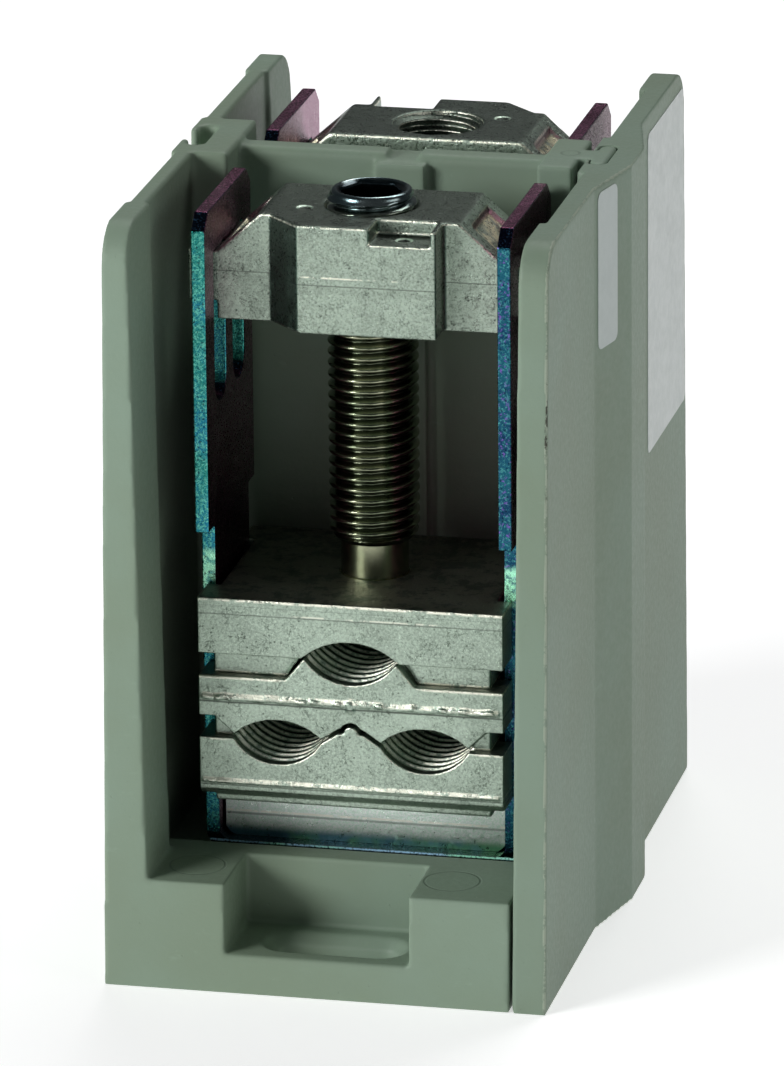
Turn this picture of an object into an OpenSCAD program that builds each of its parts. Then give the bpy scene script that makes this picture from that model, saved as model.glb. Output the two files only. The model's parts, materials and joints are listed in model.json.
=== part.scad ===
// Two-bay cable clamp block: a moulded housing with two screw clamps on one current bar.
// X runs across the clamps towards the end cover, Y from the front bay to the rear bay, Z up.
// The origin is at the bottom centre of the whole block.

/* [Housing] */
// Height of the side walls
wall_h = 136.8; // [136:0.2:150]
// Setback of each wall end at the top
lean = 4.4; // [2:0.2:8]
// Inward draft of the outer wall over its height
outer_draft = 0.8; // [0.2:0.1:1.2]
// Radius of the upper corners of the wall ends
corner_r = 7; // [3:0.5:9]
// Thickness of the wall ends at the top
bead_t = 5.3; // [4.4:0.1:6]
// Extra thickness of the wall ends at the foot
bead_draft = 3; // [0.5:0.1:3.2]
// Depth of the thick wall ends
bead_d = 17; // [8:0.5:19]
// Thickness of the wall between its ends
web_t = 3; // [2:0.1:3.6]
// Setback of the outer face between the wall ends
web_inset = 1.6; // [0.6:0.1:2]
// Height of the blocks at the front and rear foot
block_h = 19.8; // [19:0.1:24]
// Depth of the blocks at the front and rear foot
block_d = 22.5; // [20:0.5:24]
// Thickness of the floor under the clamps
floor_h = 16.4; // [12:0.1:17.4]
// Gap between those blocks and the lower part of the legs
block_gap = 3.6; // [1:0.1:6]
// Distance between the frames and the right side of the housing
side_gap = 3.5; // [2:0.1:6]
// Gap between the pillar and the frames
pillar_gap = 1.3; // [0.5:0.1:4]

/* [Partition] */
// Thickness of the partition
partition_t = 5.6; // [4:0.2:7]
// Drop of the partition below the wall tops
partition_drop = 1; // [0:0.1:3]
// Radius of the rounded partition edges
partition_r = 1.4; // [0.5:0.1:1.8]
// Width of the rib in the middle of the partition
rib_w = 9; // [6:0.5:14]
// How far that rib stands proud on each side
rib_proud = 2.4; // [1:0.1:3]
// Width of the notch in the top of that rib
notch_w = 5.6; // [3:0.1:5.8]
// Depth of the notch in the top of that rib
notch_d = 1.2; // [0.5:0.1:2]
// Width of the pillar where the partition meets the wall
pillar_w = 9.4; // [9:0.1:9.8]
// Depth of the pillar
pillar_d = 23; // [20:0.5:26]
// Width of the end block beside the cover
end_block_w = 6.2; // [5:0.1:7]
// Width of the end block below its step, beside the clamp plates
end_block_foot_w = 4.1; // [3:0.1:4.2]
// Height of the step in the end block above the legs' step
end_block_step = 4; // [2:0.5:12]
// Gap between the end block and the legs on each side
end_block_gap = 0.4; // [0.2:0.1:2]
// Gap between the partition's rib and the clamp plates
rib_gap = 1; // [0.4:0.1:3]

/* [Joining keys] */
// Width of the neck of the joining key
key_neck = 6; // [4:0.2:8]
// Width of the head of the joining key
key_head = 12.4; // [10:0.2:14]
// Length of the neck of the joining key
key_neck_l = 2.3; // [1.6:0.1:2.6]
// Thickness of the head of the joining key
key_head_t = 3; // [2:0.1:3.4]
// Clearance of the key in its channel
key_clear = 0.15; // [0.05:0.05:0.3]
// Height at which the joining key starts
key_foot = 6; // [2:1:20]
// Chamfer on the corners of the joining key
key_cut = 1; // [0.5:0.1:1.4]
// Setback of the channel's hooks from the outer wall
hook_inset = 0.4; // [0.2:0.1:1]

/* [End cover] */
// Thickness of the cover at its ends
cover_t = 6.1; // [5:0.1:7]
// Thickness of the cover between its ends
panel_t = 3.8; // [3:0.1:4.6]
// Draft of the cover's inner face over its height
cover_draft = 0.9; // [0.1:0.1:1.4]
// Gap between the housing and the cover
cover_gap = 0.5; // [0.1:0.1:0.9]
// Height of the bulge over the key channel
bulge_h = 3.5; // [2.5:0.1:5]
// Half width of the flat top of the bulge
bulge_flat = 6; // [4:0.5:9]
// Half width of the foot of the bulge
bulge_foot = 22; // [16:0.5:26]

/* [Mounting pockets] */
// Width of the mounting pockets
pocket_w = 33; // [28:0.2:40]
// Depth of the mounting pockets
pocket_d = 17.3; // [15:0.1:18.5]
// Height of the pocket floor
pocket_floor = 7.1; // [5:0.1:9]
// Offset of the pocket from the middle of the clamps
pocket_off = -2.5; // [-4:0.1:4]
// Width of the fixing slots
slot_w = 6.6; // [5.2:0.1:7]
// Length of the fixing slots
slot_l = 22.4; // [14:0.2:24]
// Offset of the fixing slots from the middle of the clamps
slot_off = -0.9; // [-2.5:0.1:0]
// Depth of the fixing slots' rounded rim
slot_rim = 1.9; // [0.6:0.1:2.2]
// Distance of the fixing slots from the foot's edge
slot_edge = 8.8; // [8:0.1:9.6]

/* [Clamp frame] */
// Width of the clamp frame over its legs
frame_w = 56.6; // [56:0.1:57.6]
// Thickness of the frame's strap
strap_t = 2.5; // [2:0.1:2.8]
// Depth of the upper part of the legs
leg_d = 34.6; // [34:0.2:36]
// Depth of the lower part of the legs and of the web
leg_foot_d = 25.6; // [24:0.2:27]
// Height of the legs' step over the raised pressure plate
step_gap = 0.5; // [0.2:0.1:3]
// Drop of the legs below the side walls
leg_drop = 2.1; // [0.5:0.1:4]
// Depth of the chamfer on the legs' upper corners
leg_cut = 2.9; // [1:0.1:4]
// Inner bend radius of the strap
bend_r = 2; // [1:0.1:2.4]
// Width of each slot in the legs
leg_slot_w = 8.4; // [7.8:0.1:9]
// Width of the bar between the two slots of a leg
leg_slot_bar = 5; // [4.6:0.1:5.6]
// Length of the slots below the top of the bridge's lugs
leg_slot_l = 27.8; // [20:0.2:34]

/* [Bridge] */
// Height of the bridge
bridge_h = 19.6; // [18.8:0.1:20.4]
// Drop of the bridge below the legs
bridge_drop = 1.1; // [0.5:0.1:2]
// Depth of the bridge in front of the screw's axis
bridge_front = 15.9; // [14:0.1:16.6]
// Depth of the wings in front of the screw's axis
wing_front = 9.7; // [9.4:0.1:10]
// Depth of the bridge behind the screw's axis
bridge_rear = 10.7; // [10.4:0.1:12]
// Drop of the wing tops at the legs
wing_drop = 7.2; // [5:0.1:9]
// Run of the slope on the wing tops
wing_run = 8; // [6:0.1:10]
// Clearance between the wings and the legs
wing_clear = 0.2; // [0.1:0.05:0.5]
// How far the lugs pass through the legs
lug_out = 2.4; // [1:0.1:3]
// Height of the lugs
lug_h = 9; // [6:0.1:10]
// Clearance of the lugs below the upper ends of their slots
lug_clear = 0.1; // [0.05:0.05:0.5]
// Depth of the pocket in the bridge's front edge
bridge_pocket = 2.9; // [1.5:0.1:4]
// Thickness of the rim between that pocket and the thread
pocket_rim = 0.9; // [0.5:0.1:2]
// Chamfer on the rear corners of the bridge
bridge_cut = 3.6; // [1:0.1:5]
// Left end of that pocket, from the screw's axis
pocket_left = 3; // [1:0.1:5]
// Right end of that pocket, from the screw's axis
pocket_right = 13.8; // [12:0.1:14.2]
// Left end of the bridge's deep front, from the screw's axis
block_left = 9.8; // [9:0.1:12]
// Right end of the bridge's deep front, from the screw's axis
block_right = 14.8; // [14.5:0.1:16]
// Distance of the sunk ledges from the legs
ledge_end = 1.6; // [1:0.1:2.4]
// Depth of the sunk ledges below the bridge's top at their inner end
ledge_d = 2.6; // [1.5:0.1:3.5]
// Width of the rims in front of and behind the sunk ledges
ledge_rim = 3.6; // [2:0.1:4]
// Distance of the left mark from the thread
mark_gap = 2.9; // [2:0.1:4]
// Distance of the left mark from the screw's axis, to the front
mark_y = 4.6; // [3:0.1:6]
// Diameter of the shallow marks in the bridge's top
mark_d = 2.4; // [1:0.1:3]
// Depth of those marks
mark_depth = 0.5; // [0.2:0.1:1]

/* [Screw] */
// Outer diameter of the thread
thread_d = 16; // [15.6:0.1:16.2]
// Pitch of the thread
thread_p = 2; // [1.5:0.5:2]
// Depth of the thread
thread_depth = 1.15; // [0.6:0.05:1.25]
// Clearance of the thread in the bridge's bore
thread_clear = 0.08; // [0.02:0.02:0.1]
// Bevel at both ends of the thread
thread_bevel = 1.4; // [0.8:0.1:1.8]
// Height of the thread above the bridge when the front clamp is closed
screw_proud = 2.9; // [1:0.1:4]
// Diameter of the pilot at the screw's end
pilot_d = 12; // [11:0.1:12.6]
// Visible length of the pilot above the pressure plate
pilot_l = 6.3; // [4:0.1:9]
// Depth of the pilot in the pressure plate
pilot_in = 5.6; // [5.2:0.1:5.8]
// Clearance of the pilot in the pressure plate
pilot_clear = 0.08; // [0.02:0.02:0.1]
// Width across the flats of the hexagon socket
hex_af = 10; // [8:0.5:10.4]
// Depth of the hexagon socket
hex_l = 9; // [6:0.5:12]
// Depth of the countersink round the socket
hex_sink = 0.8; // [0.3:0.1:0.9]
// Wire diameter of the snap ring that holds the pilot
ring_wire = 1.2; // [0.9:0.1:1.4]
// Clearance of the snap ring's groove
ring_clear = 0.1; // [0.05:0.05:0.2]

/* [Clamp plates] */
// Rise of the front pressure plate from its closed place
front_rise = 10; // [6:0.5:12]
// Clearance between the plates' bodies and the legs
body_clear = 1; // [0.3:0.1:2]
// Depth of the plates' bodies
body_d = 38.4; // [37:0.2:40]
// Setback of the lips' ends from the outside of the legs
lip_inset = 1; // [0.3:0.1:2]
// Depth over the lips
lip_d = 41.8; // [41:0.2:43]
// Clearance between the lips and the legs
lip_clear = 0.3; // [0.2:0.05:0.6]
// Height of the pressure plate's lips
press_lip_h = 10.3; // [9.6:0.1:11]
// Height of the middle plate's lips
middle_lip_h = 7.5; // [6.8:0.1:8.2]
// Height of the lower plate's lips
lower_lip_h = 10.7; // [10:0.1:11.4]
// Gap between the lips of two closed plates
lip_gap = 4; // [3.8:0.1:4.4]
// Half width of the single cable groove
single_half = 8.2; // [7.6:0.1:8.8]
// Half width of each of the double cable grooves
double_half = 7.8; // [7.2:0.1:8]
// Distance of the double grooves from the sides of the plates
double_margin = 3.8; // [2:0.1:5]
// Depth of the lower groove halves
groove_low = 4.3; // [3:0.1:4.8]
// Depth of the upper groove halves
groove_high = 3; // [2:0.1:3.2]
// Gap between the edges of two closed double grooves
double_gap = 0.8; // [0.4:0.1:1.2]
// Gap between the hump of the middle plate and the single groove's edges
single_gap = 0.4; // [0.2:0.1:0.8]
// Run of the slopes beside the grooves
slope_run = 3.3; // [2:0.1:4]
// Clearance of the pressure plate over the slopes of the hump
hump_clear = 0.2; // [0.1:0.05:0.4]
// Height of the lower plate's lips above the current bar
lip_lift = 1.5; // [1:0.1:2]
// Width of the bevel along the foot of the lower plate's lips
lip_bevel = 1.6; // [0.6:0.1:2]
// Height of the ridge between the double grooves
middle_ridge_h = 2.1; // [1.5:0.1:3]
// Width of the top of that ridge
middle_ridge_w = 4.4; // [2:0.1:5]
// Radius of the round bead along the top of that ridge
bead_r = 1.3; // [0.8:0.1:1.8]
// Clearance of the middle plate over that bead
bead_clear = 0.7; // [0.3:0.1:1]
// Distance between the ridges across the grooves
ridge_p = 2.6; // [2:0.1:4]
// Depth of the ridges across the grooves
ridge_depth = 0.7; // [0.3:0.05:0.9]

/* [Current bar] */
// Clearance between the current bar and the legs
bar_side_clear = 0.5; // [0.2:0.1:1.5]
// Thickness of the current bar
bar_h = 9.7; // [9:0.1:11]
// Reach of the current bar beyond the screws' axes
bar_reach = 9.9; // [8:0.1:18]
// Radius of the current bar's edges
bar_r = 2.2; // [0.5:0.1:2.4]
// Clearance of the current bar in the partition
bar_clear = 0.25; // [0.1:0.05:0.6]

/* [Labels] */
// Thickness of the labels
label_t = 0.12; // [0.08:0.02:0.3]
// Width of the small label
small_label_w = 8.4; // [6:0.2:12]
// Height of the small label
small_label_h = 28.5; // [20:0.5:45]
// Distance of the small label from the foot of the bulge
small_label_off = 1.5; // [1:0.1:5]
// Drop of the small label below the top of the cover
small_label_drop = 1.3; // [0.5:0.1:20]
// Distance of the large label from the middle of the block
large_label_y = 26.5; // [26.5:0.5:32]
// Height of the foot of the large label
large_label_foot = 73.5; // [60:0.5:90]
// Drop of the large label below the top of the cover
large_label_drop = 3.5; // [2:0.5:10]
// Margin between the large label and the cover's edge
large_label_margin = 1.6; // [1:0.1:4]

/* [Hidden] */
$fn = 64;
EPS = 0.01;

// Widths that follow from the frame, and the width of the housing without its end cover
leg_in = frame_w / 2 - strap_t;
body_w = 2 * (leg_in - body_clear);
lip_w = frame_w - 2 * lip_inset;
bar_w = 2 * (leg_in - bar_side_clear);
double_off = body_w / 2 - double_margin - double_half;
clamp_inset = web_inset + pillar_w + pillar_gap + frame_w / 2;
base_w = clamp_inset + frame_w / 2 + side_gap;

// Depths that follow from the plates, up to the depth of the housing at the foot
screw_pitch = partition_t + 2 * rib_proud + 2 * rib_gap + lip_d;
end_block_d = screw_pitch - leg_d - 2 * end_block_gap;
foot_d = screw_pitch + leg_foot_d + 2 * block_gap + 2 * block_d;
bar_l = screw_pitch + 2 * bar_reach;

// Places across the block
total_w = base_w + cover_gap + cover_t + bulge_h;
x_left = -total_w / 2;
x_right = x_left + base_w;
x_cover = x_right + cover_gap;
x_face = x_cover + cover_t;
x_clamp = x_left + clamp_inset;
// Slope of the wall ends, as setback for each unit of height
slope = lean / wall_h;
slope_k = sqrt(1 + slope * slope);
corner_z = wall_h - corner_r;
corner_y = foot_d / 2 - slope * corner_z - corner_r * slope_k;

// Heights of the closed stacks of plates
web_top = floor_h + strap_t;
bar_top = web_top + bar_h;
lower_foot = bar_top + lip_lift;
lower_top = lower_foot + lower_lip_h;
middle_foot = lower_top + lip_gap;
middle_top = middle_foot + middle_lip_h;
press_foot = middle_top + lip_gap;
press_top = press_foot + press_lip_h;
rear_press_top = middle_foot + press_lip_h;
rear_drop = press_top - rear_press_top;
step_h = press_top + front_rise + step_gap;
leg_top = wall_h - leg_drop;
bridge_top = leg_top - bridge_drop;

// The screw's own heights, for the front bay
screw_top = bridge_top + screw_proud;
thread_foot = press_top + pilot_l;
pilot_foot = press_top - pilot_in;
ring_z = press_top - pilot_in / 2;
thread_r = thread_d / 2;
pilot_r = pilot_d / 2;
ring_r = pilot_r + 0.1;

// Places in a clamp
wing_end = leg_in - wing_clear;
bridge_foot = bridge_top - bridge_h;
lug_top = bridge_top - wing_drop;
lug_foot = lug_top - lug_h;
leg_slot_foot = lug_top - leg_slot_l;
mark_x = thread_r + mark_gap;
slot_in = leg_slot_bar / 2;
lip_in = leg_foot_d / 2 + lip_clear;

// Rounded outline of the wall ends seen from the side, drawn in Y and Z
module side_outline() {
    cut = corner_r / slope_k;
    polygon([
        [-foot_d / 2, 0], [foot_d / 2, 0],
        [corner_y + cut, corner_z + slope * cut], [corner_y, wall_h],
        [-corner_y, wall_h], [-corner_y - cut, corner_z + slope * cut]
    ]);
    for (side = [-1, 1]) translate([side * corner_y, corner_z]) circle(r = corner_r);
}

// A slab of the side outline from x0 to x1
module side_slab(x0, x1) {
    translate([x0, 0, 0]) rotate([90, 0, 90]) linear_extrude(height = x1 - x0) side_outline();
}

// A profile drawn in X and Z, drawn out along Y from y0 to y1
module along_y(y0, y1) {
    translate([0, y1, 0]) rotate([90, 0, 0]) linear_extrude(height = y1 - y0) children();
}

// A box given by its lowest and highest corners
module box(a, b) {
    translate(a) cube(b - a);
}

// The part of the side slab that lies within bead_d of its sloping ends
module bead_zone(x0, x1) {
    inner = foot_d / 2 - bead_d;
    difference() {
        side_slab(x0, x1);
        translate([x0 - EPS, 0, 0]) rotate([90, 0, 90]) linear_extrude(height = x1 - x0 + 2 * EPS)
            polygon([[-inner, -1], [inner, -1], [inner - lean, wall_h + 1], [lean - inner, wall_h + 1]]);
    }
}

// Outline of the joining key in X and Y, with its root at x = 0
module key_outline(grow) {
    neck = key_neck / 2 + grow;
    head = key_head / 2 + grow;
    x0 = key_neck_l - grow;
    x1 = key_neck_l + key_head_t + grow;
    polygon([
        [-EPS, -neck], [x0, -neck], [x0, key_cut - head], [x0 + key_cut, -head], [x1 - key_cut, -head],
        [x1, key_cut - head], [x1, head - key_cut], [x1 - key_cut, head], [x0 + key_cut, head],
        [x0, head - key_cut], [x0, neck], [-EPS, neck]
    ]);
}

// A slot with round ends along X, cut down from z1 to z0
module long_slot(length, width, z0, z1) {
    reach = (length - width) / 2;
    translate([0, 0, z0]) {
        for (side = [-1, 1]) translate([side * reach, 0, 0]) cylinder(d = width, h = z1 - z0);
        translate([-reach, -width / 2, 0]) cube([2 * reach, width, z1 - z0]);
    }
}

// The fixing slot with its flared rim, centred on the pocket floor
module fixing_slot() {
    reach = (slot_l - slot_w) / 2;
    long_slot(slot_l, slot_w, -1, pocket_floor + 1);
    translate([0, 0, pocket_floor - slot_rim]) {
        for (side = [-1, 1]) translate([side * reach, 0, 0])
            cylinder(d1 = slot_w, d2 = slot_w + 2 * slot_rim, h = slot_rim + EPS);
        rotate([90, 0, 90]) translate([0, 0, -reach]) linear_extrude(height = 2 * reach)
            polygon([
                [-slot_w / 2, 0], [slot_w / 2, 0],
                [slot_w / 2 + slot_rim, slot_rim + EPS], [-slot_w / 2 - slot_rim, slot_rim + EPS]
            ]);
    }
}

// What the draft takes off a wall, whose foot lies at x and whose top lies inwards by draft
module draft_cut(x, draft) {
    along_y(-foot_d, foot_d)
        polygon([
            [x - 1, -1], [x, -1], [x, 0],
            [x + draft, wall_h], [x + draft, wall_h + 1], [x - 1, wall_h + 1]
        ]);
}

// The pocket at the front foot, with its fixing slot
module mounting_pocket() {
    x = x_clamp + pocket_off;
    box([x - pocket_w / 2, -foot_d / 2 - 1, pocket_floor],
        [x + pocket_w / 2, pocket_d - foot_d / 2, block_h + 1]);
    translate([x_clamp + slot_off, slot_edge - foot_d / 2, 0]) fixing_slot();
}

// The partition's outline in Y and Z, with its upper edges rounded
module partition_outline() {
    top = wall_h - partition_drop;
    half = partition_t / 2;
    translate([-half, floor_h - 1]) square([partition_t, top - partition_r - floor_h + 1]);
    translate([partition_r - half, top - partition_r - EPS])
        square([partition_t - 2 * partition_r, partition_r + EPS]);
    for (side = [-1, 1]) translate([side * (half - partition_r), top - partition_r]) circle(r = partition_r);
}

module side_wall() {
    inner = x_left + bead_t;
    intersection() {
        bead_zone(x_left, x_left + bead_t + bead_draft + 1);
        along_y(-foot_d, foot_d)
            polygon([[x_left, 0], [inner + bead_draft, 0], [inner, wall_h], [x_left, wall_h]]);
    }
    side_slab(x_left + web_inset, x_left + web_inset + web_t);
}

module base_block() {
    edge = foot_d / 2 - block_d;
    intersection() {
        side_slab(x_left, x_right);
        union() {
            box([x_left, -foot_d, 0], [x_right, foot_d, floor_h]);
            box([x_left, -foot_d, 0], [x_right, -edge, block_h]);
            box([x_left, edge, 0], [x_right, foot_d, block_h]);
        }
    }
}

module partition() {
    top = wall_h - partition_drop;
    rib = partition_t / 2 + rib_proud;
    difference() {
        union() {
            translate([x_left + web_inset, 0, 0]) rotate([90, 0, 90])
                linear_extrude(height = base_w - web_inset - 1) partition_outline();
            box([x_clamp - rib_w / 2, -rib, floor_h - 1], [x_clamp + rib_w / 2, rib, top - partition_r]);
        }
        box([x_clamp - notch_w / 2, -rib - 1, top - notch_d], [x_clamp + notch_w / 2, rib + 1, top + 1]);
        box([
            x_clamp - bar_w / 2 - bar_clear, -rib - 1, web_top - bar_clear
        ], [x_clamp + bar_w / 2 + bar_clear, rib + 1, bar_top + bar_clear]);
    }
}

module housing() {
    color("darkseagreen") difference() {
        union() {
            base_block();
            side_wall();
            partition();
            box([x_left + web_inset, -pillar_d / 2, 0],
                [x_left + web_inset + pillar_w, pillar_d / 2, wall_h]);
            box([x_left + hook_inset, -pillar_d / 2, 0], [x_left + web_inset + EPS, pillar_d / 2, wall_h]);
            box([x_right - end_block_foot_w, -end_block_d / 2, 0], [x_right, end_block_d / 2, wall_h]);
            box([x_right - end_block_w, -end_block_d / 2, step_h + end_block_step],
                [x_right, end_block_d / 2, wall_h]);
            translate([x_right, 0, key_foot]) linear_extrude(height = wall_h - key_foot) key_outline(0);
        }
        for (turn = [0, 1]) mirror([0, turn, 0]) mounting_pocket();
        translate([x_left, 0, -1]) linear_extrude(height = wall_h + 2) key_outline(key_clear);
        draft_cut(x_left, outer_draft);
    }
}

module end_cover() {
    hooks = pillar_d / 2;
    color("honeydew") difference() {
        union() {
            bead_zone(x_cover, x_face);
            side_slab(x_face - panel_t, x_face);
            box([x_cover, -hooks, 0], [x_face, hooks, wall_h]);
            linear_extrude(height = wall_h)
                polygon([
                    [x_face - 1, -bulge_foot], [x_face, -bulge_foot], [x_face + bulge_h, -bulge_flat],
                    [x_face + bulge_h, bulge_flat], [x_face, bulge_foot], [x_face - 1, bulge_foot]
                ]);
        }
        translate([x_right, 0, key_foot - key_clear]) linear_extrude(height = wall_h) key_outline(key_clear);
        draft_cut(x_cover, cover_draft);
    }
}

// The small label lies on the front slope of the bulge
module small_label() {
    turn = atan2(bulge_h, bulge_foot - bulge_flat);
    foot = wall_h - small_label_drop - small_label_h;
    color("lightgray") translate([x_face, -bulge_foot, foot]) rotate([0, 0, -turn])
        translate([0, small_label_off, 0]) cube([label_t, small_label_w, small_label_h]);
}

// The large label lies on the rear panel and follows the cover's sloping edge
module large_label() {
    rear = foot_d / 2 - large_label_margin;
    top = wall_h - large_label_drop;
    color("whitesmoke") translate([x_face, 0, 0]) rotate([90, 0, 90]) linear_extrude(height = label_t)
        polygon([
            [large_label_y, large_label_foot], [rear - slope * large_label_foot, large_label_foot],
            [rear - slope * top, top], [large_label_y, top]
        ]);
}

module current_bar() {
    color("silver") translate([x_clamp, 0, 0]) along_y(-bar_l / 2, bar_l / 2) {
        translate([-bar_w / 2 + bar_r, web_top]) square([bar_w - 2 * bar_r, bar_h]);
        translate([-bar_w / 2, web_top + bar_r]) square([bar_w, bar_h - 2 * bar_r]);
        for (x = [-1, 1], z = [web_top + bar_r, bar_top - bar_r])
            translate([x * (bar_w / 2 - bar_r), z]) circle(r = bar_r);
    }
}

// Outline of the bent strap in X and Z
module strap_outline() {
    outer = frame_w / 2;
    outer_r = bend_r + strap_t;
    difference() {
        union() {
            translate([-outer, floor_h + outer_r]) square([frame_w, leg_top - floor_h - outer_r]);
            translate([outer_r - outer, floor_h]) square([frame_w - 2 * outer_r, outer_r + 1]);
            for (side = [-1, 1])
                translate([side * (outer - outer_r), floor_h + outer_r]) circle(r = outer_r);
        }
        translate([-leg_in, web_top + bend_r]) square([2 * leg_in, leg_top - web_top]);
        translate([bend_r - leg_in, web_top]) square([2 * (leg_in - bend_r), bend_r + 1]);
        for (side = [-1, 1]) translate([side * (leg_in - bend_r), web_top + bend_r]) circle(r = bend_r);
    }
}

// A clamp frame around the Z axis
module frame() {
    wide = leg_d / 2;
    narrow = leg_foot_d / 2;
    slot_start = leg_slot_foot + leg_slot_w / 2;
    slot_end = lug_top + lug_clear;
    color("mediumpurple") difference() {
        intersection() {
            along_y(-wide, wide) strap_outline();
            translate([-frame_w, 0, 0]) rotate([90, 0, 90]) linear_extrude(height = 2 * frame_w)
                polygon([
                    [-narrow, 0], [narrow, 0], [narrow, step_h], [wide, step_h], [wide, leg_top - leg_cut],
                    [wide - leg_cut, leg_top], [leg_cut - wide, leg_top], [-wide, leg_top - leg_cut],
                    [-wide, step_h], [-narrow, step_h]
                ]);
        }
        for (side = [-1, 1]) translate([0, side * (slot_in + leg_slot_w / 2), 0]) {
            box([-frame_w, -leg_slot_w / 2, slot_start], [frame_w, leg_slot_w / 2, slot_end]);
            translate([-frame_w, 0, slot_start]) rotate([0, 90, 0])
                cylinder(d = leg_slot_w, h = 2 * frame_w);
        }
    }
}

// Outline of the bridge seen from above
module bridge_outline() {
    step = bridge_front - wing_front;
    polygon([
        [-wing_end, -wing_front], [-block_left - step, -wing_front], [-block_left, -bridge_front],
        [block_right, -bridge_front], [block_right, -wing_front], [wing_end, -wing_front],
        [wing_end, bridge_rear - bridge_cut], [wing_end - bridge_cut, bridge_rear],
        [bridge_cut - wing_end, bridge_rear], [-wing_end, bridge_rear - bridge_cut]
    ]);
}

// The two sunk ledges on the slopes of the wing tops
module bridge_ledges() {
    x0 = wing_end - wing_run + 1.5;
    x1 = wing_end - ledge_end;
    for (turn = [0, 1]) mirror([turn, 0, 0])
        along_y(ledge_rim - wing_front, bridge_rear - ledge_rim)
            polygon([
                [x0, bridge_top + 1], [x0, bridge_top - ledge_d],
                [x1, lug_top + 0.2], [x1, bridge_top + 1]
            ]);
}

// The pocket in the front edge, with one mark in its floor, and the other mark to its left
module bridge_pocket_and_marks() {
    foot = bridge_top - bridge_pocket;
    box([pocket_left, -bridge_front - 1, foot],
        [pocket_right, -thread_r - thread_clear - pocket_rim, bridge_top + 1]);
    translate([(pocket_left + pocket_right) / 2, (-bridge_front - thread_r) / 2, foot - mark_depth])
        cylinder(d = mark_d, h = mark_depth + 1);
    translate([-mark_x, -mark_y, bridge_top - mark_depth]) cylinder(d = mark_d, h = mark_depth + 1);
}

// The threaded bridge around the Z axis, with its bore for the screw
module bridge() {
    lug_mid = slot_in + leg_slot_w / 2;
    color("gainsboro") difference() {
        union() {
            intersection() {
                translate([0, 0, bridge_foot]) linear_extrude(height = bridge_h) bridge_outline();
                along_y(-bridge_front - 1, bridge_rear + 1)
                    polygon([
                        [-wing_end, bridge_foot], [wing_end, bridge_foot], [wing_end, lug_top],
                        [wing_end - wing_run, bridge_top], [wing_run - wing_end, bridge_top],
                        [-wing_end, lug_top]
                    ]);
            }
            for (x = [-1, 1], y = [-1, 1])
                translate([x * wing_end, y * lug_mid, (lug_foot + lug_top) / 2])
                    cube([2 * (strap_t + wing_clear + lug_out), 2 * (wing_front - lug_mid), lug_h],
                        center = true);
        }
        translate([0, 0, bridge_foot - 1]) cylinder(r = thread_r + thread_clear, h = bridge_h + 2);
        bridge_pocket_and_marks();
        bridge_ledges();
    }
}

// Outline of the screw in radius and height, with its grooves worked out from the pitch
module screw_outline() {
    turns = floor((screw_top - thread_foot - 2 * thread_bevel) / thread_p);
    root_r = thread_r - thread_depth;
    end_r = thread_r - thread_bevel;
    flank_h = thread_p * 0.36;
    root_h = thread_p * 0.14;
    pilot_cut = 0.5;
    flank = [
        for (i = [0 : turns - 1]) let (z = thread_foot + thread_bevel + i * thread_p)
            each [[thread_r, z], [root_r, z + flank_h], [root_r, z + flank_h + root_h],
                  [thread_r, z + 2 * flank_h + root_h]]
    ];
    polygon(concat(
        [[0, pilot_foot], [pilot_r - pilot_cut, pilot_foot], [pilot_r, pilot_foot + pilot_cut],
         [pilot_r, thread_foot], [end_r, thread_foot]],
        flank,
        [[thread_r, screw_top - thread_bevel], [end_r, screw_top], [0, screw_top]]
    ));
}

// The groove for the snap ring, which lies half in the pilot and half in the pressure plate
module ring_groove(z) {
    translate([0, 0, z]) rotate_extrude() translate([ring_r, 0]) circle(d = ring_wire + ring_clear);
}

// The screw around the Z axis
module screw() {
    color("darkkhaki") difference() {
        rotate_extrude() screw_outline();
        translate([0, 0, screw_top - hex_l]) cylinder(d = hex_af / cos(30), h = hex_l + 1, $fn = 6);
        translate([0, 0, screw_top - hex_sink])
            cylinder(d1 = hex_af, d2 = hex_af + 3 * hex_sink, h = hex_sink + EPS);
        ring_groove(ring_z);
    }
}

// The open wire ring that holds the pilot in the pressure plate
module snap_ring() {
    color("dimgray") translate([0, 0, ring_z]) rotate_extrude(angle = 330)
        translate([ring_r, 0]) circle(d = ring_wire);
}

// Radius of a circle from half a chord and the arc's height over it
function arc_r(half, rise) = (half * half + rise * rise) / (2 * rise);

// A ridged cable groove along Y: a plain half round with deeper rings at even steps
module cable_groove(half, rise, chord_z, up) {
    r = arc_r(half, rise);
    z = chord_z + up * (rise - r);
    count = floor(lip_d / 2 / ridge_p - 0.5);
    translate([0, lip_d, z]) rotate([90, 0, 0]) cylinder(r = r, h = 2 * lip_d);
    for (i = [-count : count]) translate([0, i * ridge_p + ridge_p * 0.3, z]) rotate([90, 0, 0])
        cylinder(r = r + ridge_depth, h = ridge_p * 0.6);
}

// A plate's body between the legs and its two lips in front of and behind them
module plate(body_foot, lip_foot, top) {
    box([-body_w / 2, -body_d / 2, body_foot], [body_w / 2, body_d / 2, top]);
    for (turn = [0, 1]) mirror([0, turn, 0])
        box([-lip_w / 2, lip_in, lip_foot], [lip_w / 2, lip_d / 2, top]);
}

// Bore and ring groove for the pilot, below the top of a pressure plate
module pilot_bore(top) {
    translate([0, 0, top - pilot_in]) cylinder(r = pilot_r + pilot_clear, h = pilot_in + 1);
    ring_groove(top - pilot_in / 2);
}

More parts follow.
